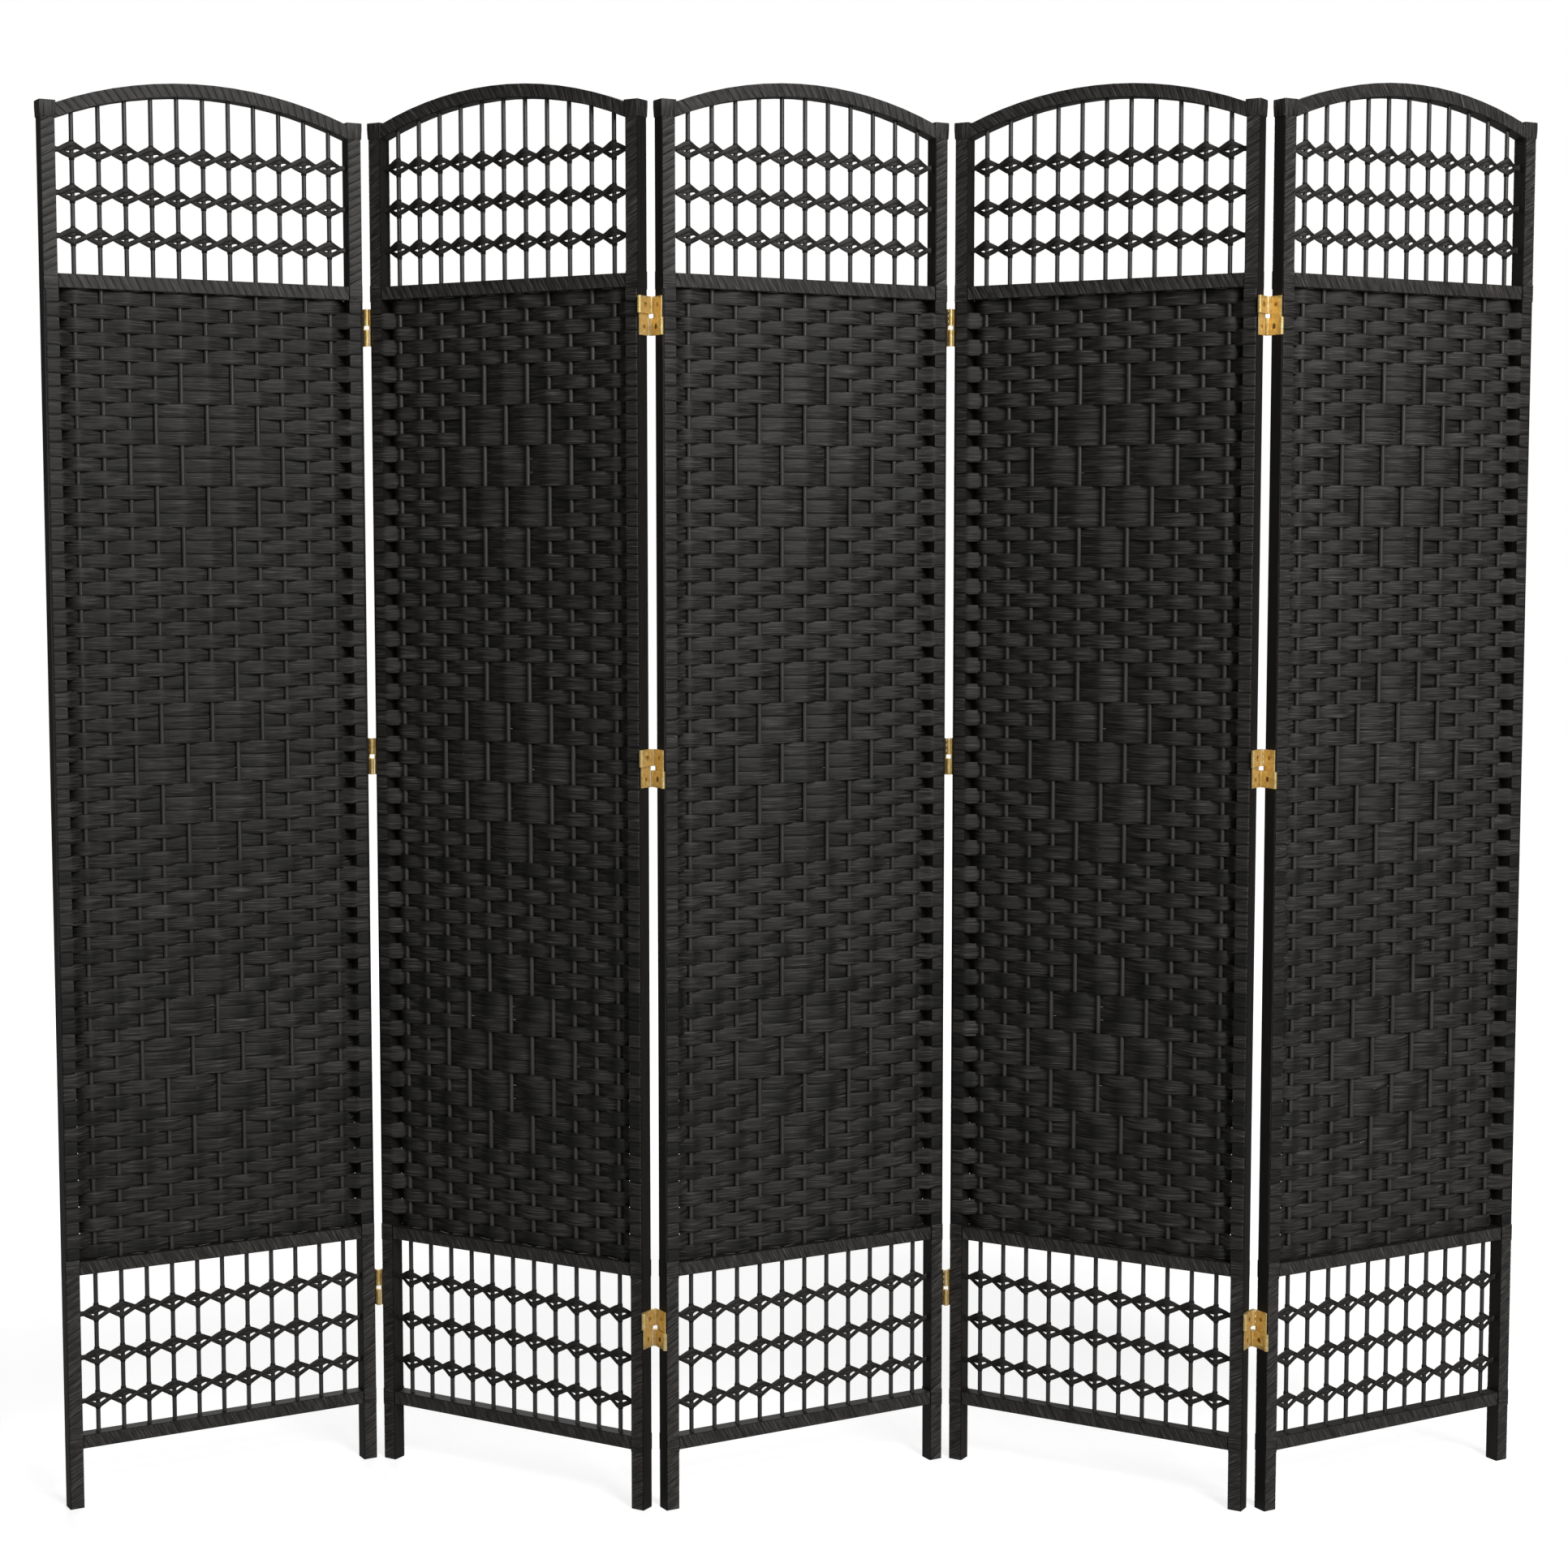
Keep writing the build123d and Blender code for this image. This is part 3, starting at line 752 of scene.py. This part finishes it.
# %% The stiles' wraps
rail_height = 18.4 * mm
rail_depth = 19 * mm
rail_tops = (1468.7 * mm, 301.7 * mm, 89.8 * mm)
band_overlap = 1.2 * mm
band_proud = 0.5 * mm
cap_height = 20 * mm
cap_proud = 0.8 * mm
cap_flare = 0.4 * cap_height
cap_foot_scale = (0.955, 0.94, 1)
cap_round = 1.3 * mm
panel_height = 1665 * mm
foot_bare_height = 1 * mm
stile_middle = (panel_width - stile_width) / 2
bands = [(top - rail_height - band_overlap, top + band_overlap) for top in rail_tops]


def joint_band(low, high):
    """The level binding round a stile where a rail meets it."""
    width, depth = stile_width + band_proud, stile_depth + 2 * band_proud
    band, _ = wound_turn(width, depth, high - low, 0.0, "joint_band")
    band.data.transform(Matrix.Translation((0, 0, (low + high) / 2)))
    weld(band)
    return band


def stile_cap():
    """The folded leaf over a stile's top: a block that flares a little to its rounded upper edge."""
    select_none()
    size = (stile_width + cap_proud, stile_depth + 2 * cap_proud, cap_height)
    bpy.ops.mesh.primitive_cube_add(size=1, scale=size, location=(0, 0, panel_height - cap_height / 2))
    cap = bpy.context.object
    bpy.ops.object.transform_apply(location=True, scale=True)
    bpy.ops.object.mode_set(mode="EDIT")
    bpy.ops.mesh.bisect(plane_co=(0, 0, panel_height - cap_flare), plane_no=(0, 0, 1))
    bpy.ops.mesh.select_all(action="DESELECT")
    bpy.ops.object.mode_set(mode="OBJECT")
    for face in cap.data.polygons:
        face.select = face.center.z < panel_height - 0.99 * cap_height
    bpy.ops.object.mode_set(mode="EDIT")
    bpy.ops.mesh.select_mode(type="FACE")
    bpy.ops.transform.resize(value=cap_foot_scale, center_override=(0, 0, panel_height - cap_height))
    bpy.ops.mesh.select_all(action="SELECT")
    bpy.ops.mesh.bevel(offset=cap_round, segments=2, profile=0.6)
    bpy.ops.object.mode_set(mode="OBJECT")
    layer = cap.data.uv_layers.active or cap.data.uv_layers.new(name="UVMap")
    for loop in cap.data.loops:
        x, y, z = cap.data.vertices[loop.vertex_index].co
        layer.data[loop.index].uv = (z, x + y)
    return cap


def stile_wraps():
    """Everything wound on the two stiles of a panel, apart from the ends of the woven strips."""
    zones = [
        (foot_bare_height, bands[2][0]), (bands[2][1], bands[1][0]), (bands[0][1], panel_height - cap_height),
    ]
    parts = [wound_bar(stile_width, stile_depth, low, high, "wound_stile") for low, high in zones]
    parts += [joint_band(low, high) for low, high in bands]
    parts.append(stile_cap())
    for part in parts:
        part.data.uv_layers.active.name = "UVMap"
    one = join(parts, "stile_wraps")
    one.data.transform(Matrix.Translation((-stile_middle, 0, 0)))
    other = copy_of(one, "right", Matrix.Translation((2 * stile_middle, 0, 0)))
    shift_map(other, 3.1)
    both = join([one, other], "stile_wraps")
    soften(both)
    return both


wraps = stile_wraps()
print("stile wraps of one panel:", triangles(wraps), "triangles")

# %% [markdown]
# ## Wound rails and the bowed top rail
# The rails are bound like the stiles. Each one is wound as an upright bar and then laid down, which
# turns the climbing edges into steep slanting lines. The top rail is wound straight and then bent to
# its arc, and its ends are trimmed upright where it meets the stiles.

# %% Wound rails
bow_rise = 33.5 * mm
bow_thickness = 18 * mm
bow_drop_at_stile = 1.6 * mm
bow_radius = (stile_inner**2 + bow_rise**2) / (2 * bow_rise)
bow_centre = panel_height - bow_drop_at_stile + bow_rise - bow_radius
lay_down = Matrix.Rotation(pi / 2, 4, "Y")


def bend_to_bow(piece):
    """Bend a bar that lies along X to the top rail's arc."""
    middle_radius = bow_radius - bow_thickness / 2
    for vertex in piece.data.vertices:
        x, _, z = vertex.co
        angle = x / middle_radius
        radius = middle_radius + z
        vertex.co.x = radius * sin(angle)
        vertex.co.z = bow_centre + radius * cos(angle)


def rail_wraps():
    """The wound ribbon of the three straight rails and the bowed one."""
    parts = []
    for index, top in enumerate(rail_tops):
        rail = wound_bar(rail_height, rail_depth, -stile_inner, stile_inner, "wound_rail")
        rail.data.transform(Matrix.Translation((0, 0, top - rail_height / 2)) @ lay_down)
        shift_map(rail, 1.7 * index)
        parts.append(rail)
    extra = 12 * mm
    bow = wound_bar(bow_thickness, rail_depth, -stile_inner - extra, stile_inner + extra, "wound_bow")
    bow.data.transform(lay_down)
    bend_to_bow(bow)
    for side in (-1, 1):
        trim(bow, (side * stile_inner, 0, 0), (side, 0, 0))
    shift_map(bow, 5.3)
    parts.append(bow)
    wound = join(parts, "rail_wraps")
    soften(wound)
    return wound


rails = rail_wraps()
print("rail wraps of one panel:", triangles(rails), "triangles")

# %% [markdown]
# ## Knotted cords
# Above and below the weave, three rows of flat cord cross the rods. Two cords make a row. Between
# the rods they cross each other, and at each rod one is tied high and the other low, so the row opens
# and closes like a net. At each knot a short strand is drawn through the middle, and a turn of cord
# binds the rod above and below. One knot is modelled about a rod, and then repeated along the row.

# %% Knotted cords
rows_in_a_band = 3
rows_below = (128.2 * mm, 53.4 * mm)
rows_above = (1511.5 * mm, 49.4 * mm)
cord_heights = [low + i * step for low, step in (rows_below, rows_above) for i in range(rows_in_a_band)]
cord_half_thickness = 0.85 * mm
half_pitch = rod_pitch / 2


def strand(stations, name):
    """A flat cord led through stations, each x, y, z and half its height, in millimetres."""
    x, y, z, half = (value * mm for value in stations[0])
    section = strip_section(x, y, cord_half_thickness, (z + half, z - half))
    section = [(place, across - z) for place, across in section]
    cord = Grower(name, section)
    for station in stations[1:]:
        next_x, next_y, next_z, next_half = (value * mm for value in station)
        cord.extrude((next_x - x, next_y - y, next_z - z))
        cord.resize((1, 1, next_half / half), (next_x, next_y, next_z))
        x, y, z, half = next_x, next_y, next_z, next_half
    piece = cord.finish()
    write_map(piece)
    return piece


def rod_binding(low, high):
    """A turn of cord bound round a rod between two heights."""
    inner, outer = rod_diameter / 2, rod_diameter / 2 + 0.75 * mm
    middle = (low + high) / 2
    outline = [(inner, low), (outer - 0.2 * mm, low + 0.4 * mm), (outer, middle)]
    outline += [(outer - 0.2 * mm, high - 0.4 * mm), (inner, high)]
    ring = Grower("rod_binding", [((0, -reach, z), z) for reach, z in outline])
    ring.turn(2 * pi, (0, 0, 0), 10, rod_diameter / 2)
    piece = ring.finish()
    write_map(piece)
    weld(piece)
    return piece


def knot():
    """The strands and bindings about one rod, from the middle of one gap to the middle of the next."""
    p = half_pitch / mm
    high = [
        (-p, -0.95, 0, 3.3), (-10.5, -1.2, 2.9, 3.4), (-4.2, -3.0, 6.3, 3.5), (0, -4.1, 7.6, 3.5),
        (4.2, -2.6, 5.6, 3.5), (10.5, 0.3, 2.6, 3.3), (p, 0.95, 0, 3.3),
    ]
    low = [
        (-p, 0.95, 0, 3.3), (-10.5, 0.3, -3.0, 3.3), (-4.2, -2.6, -6.3, 3.5), (0, -4.1, -7.3, 3.5),
        (4.2, -3.0, -5.4, 3.5), (10.5, -1.2, -2.6, 3.4), (p, -0.95, 0, 3.3),
    ]
    middle = [
        (-11.5, 0.2, 0.6, 1.6), (-7, -0.8, 0.6, 2.5), (-3, -3.2, 1.0, 2.8), (1.2, -3.9, 1.8, 2.6),
        (4.2, -2.2, 2.6, 2.1), (8.0, -1.0, 2.2, 1.5),
    ]
    strands = [strand(high, "high_cord"), strand(low, "low_cord"), strand(middle, "middle_strand")]
    group = join(strands, "knot_strands")
    apply_modifier(group, "SUBSURF", levels=1, render_levels=1)
    rings = [rod_binding(5.5 * mm, 11.3 * mm), rod_binding(-11.8 * mm, -5.5 * mm)]
    return join([group] + rings, "knot")


def end_tie(side):
    """The end of a row, where both cords run together and are tied to the stile."""
    start = rod_pitch * half_rods / mm + half_pitch / mm
    end = stile_inner / mm + 0.6
    stations = [(start, 0, 0, 3.1), (start + 2.0, 0, 0, 3.2), (end - 1.5, 0, 0, 3.8), (end, 0, 0, 4.1)]
    return strand([(side * x, y, z, half) for x, y, z, half in stations], "end_tie")


def lattice():
    """All six rows of a panel's knotted cords."""
    row = knot()
    row.data.transform(Matrix.Translation((-half_rods * rod_pitch, 0, 0)))
    apply_modifier(
        row, "ARRAY", count=rod_count, use_relative_offset=False, use_constant_offset=True,
        constant_offset_displace=(rod_pitch, 0, 0), offset_u=0.13, offset_v=strip_step,
    )
    row = join([row, end_tie(-1), end_tie(1)], "cord_row")
    rows = []
    for index, height in enumerate(cord_heights):
        rows.append(copy_of(row, f"row_{index}", Matrix.Translation((0, 0, height))))
        shift_map(rows[-1], 0.29 * index)
    bpy.data.objects.remove(row)
    net = join(rows, "lattice")
    weld(net)
    soften(net, 60)
    return net


net = lattice()
print("lattice of one panel:", triangles(net), "triangles")

# %% [markdown]
# ## Five panels
# Each finished piece is copied to the five panels, rides on its panel, and stands for the plain solid
# that holds its place in the frame.

# %% Dress the five panels
dressing = {
    "woven_field": (field, woven_leaf, "weave", "woven_strip"),
    "wound_stiles": (wraps, wound_leaf, "wraps", "fiber_wrap"),
    "wound_rails": (rails, wound_leaf, "wraps", "fiber_wrap"),
    "knotted_cords": (net, knotted_leaf, "lattice_cords", "cord"),
}
for number, place in panel_places.items():
    for name, (source, finish, node, slot) in dressing.items():
        piece = copy_of(source, f"panel_{number}_{name}", place)
        shift_map(piece, number * panel_step)
        piece.data.materials.clear()
        piece.data.materials.append(finish)
        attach(piece, f"panel_{number}")
        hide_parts(f"panel_{number}_{node}")
for source in [field, wraps, rails, net] + [piece for piece, _ in patterns.values()]:
    bpy.data.objects.remove(source)
dressed = [o for o in bpy.data.objects if o.type == "MESH" and not o.hide_render]
print("triangles in all:", sum(triangles(o) for o in dressed))

# %% [markdown]
# ## Floor and light
# The floor is plain and pale. A large soft lamp stands to the right of the camera, so the panels that
# face it are lit fully and the others fall into half shade, as in the photograph. A weak lamp to the
# left and one behind fill the far sides. The backdrop is white to the camera, and adds no light.

# %% Floor, backdrop and lamps
backdrop_glow_in_gloss = 0.14
room_light = 0.07
floor_lift_near = 0.7
floor_fade = (1.1, 2.6)
lamp_target = Vector((0, 0, 0.85))


def studio_floor():
    """A pale floor that keeps the screen's shadow near it and fades to white farther away."""
    select_none()
    bpy.ops.mesh.primitive_plane_add(size=24, location=(0, 0, 0))
    floor = bpy.context.object
    floor.name = "studio_floor"
    material, tree, shader = new_material("matt_painted_floor")
    shader.inputs["Base Color"].default_value = linear("cccccc")
    shader.inputs["Roughness"].default_value = 0.9
    shader.inputs["Specular IOR Level"].default_value = 0.1
    path = add_node(tree, "ShaderNodeLightPath")
    place = add_node(tree, "ShaderNodeTexCoord").outputs["Object"]
    away = add_node(tree, "ShaderNodeVectorMath", {"operation": "LENGTH"}, {0: place}).outputs["Value"]
    fade = value_range(tree, away, *floor_fade, floor_lift_near, 1.0)
    shader.inputs["Emission Color"].default_value = (1, 1, 1, 1)
    tree.links.new(multiply(tree, fade, path.outputs["Is Camera Ray"]), shader.inputs["Emission Strength"])
    floor.data.materials.append(material)


def studio_backdrop():
    """White to the camera and through glass, dim in gloss, and a weak even light on everything."""
    world = bpy.data.worlds.new("studio")
    bpy.context.scene.world = world
    world.use_nodes = True
    tree = world.node_tree
    tree.nodes.clear()
    path = add_node(tree, "ShaderNodeLightPath")
    gloss = add_node(
        tree, "ShaderNodeMath", {"operation": "MULTIPLY", 1: backdrop_glow_in_gloss},
        {0: path.outputs["Is Glossy Ray"]},
    )
    seen = add_node(
        tree, "ShaderNodeMath", {"operation": "ADD"},
        {0: path.outputs["Is Camera Ray"], 1: path.outputs["Is Transmission Ray"]},
    )
    white = add_node(
        tree, "ShaderNodeMath", {"operation": "ADD", "use_clamp": True},
        {0: seen.outputs["Value"], 1: gloss.outputs["Value"]},
    )
    level = add_node(
        tree, "ShaderNodeMath", {"operation": "MAXIMUM", 1: room_light}, {0: white.outputs["Value"]}
    )
    background = add_node(
        tree, "ShaderNodeBackground", {"Color": (1, 1, 1, 1)}, {"Strength": level.outputs["Value"]}
    )
    output = add_node(tree, "ShaderNodeOutputWorld")
    tree.links.new(background.outputs["Background"], output.inputs["Surface"])


def soft_lamp(name, azimuth, elevation, distance, size, power):
    """A square area lamp that looks at the middle of the screen. Azimuth is from the front, to the right."""
    data = bpy.data.lights.new(name, "AREA")
    data.shape = "SQUARE"
    data.size = size
    data.energy = power
    lamp = bpy.data.objects.new(name, data)
    bpy.context.scene.collection.objects.link(lamp)
    away = Vector((
        sin(radians(azimuth)) * cos(radians(elevation)),
        -cos(radians(azimuth)) * cos(radians(elevation)),
        sin(radians(elevation)),
    ))
    lamp.location = lamp_target + distance * away
    lamp.rotation_euler = away.to_track_quat("Z", "Y").to_euler()


studio_floor()
studio_backdrop()
soft_lamp("key", 32, 28, 5.0, 2.2, 215)
soft_lamp("fill", -38, 20, 5.0, 2.5, 16)
soft_lamp("back", 195, 35, 5.0, 2.5, 110)
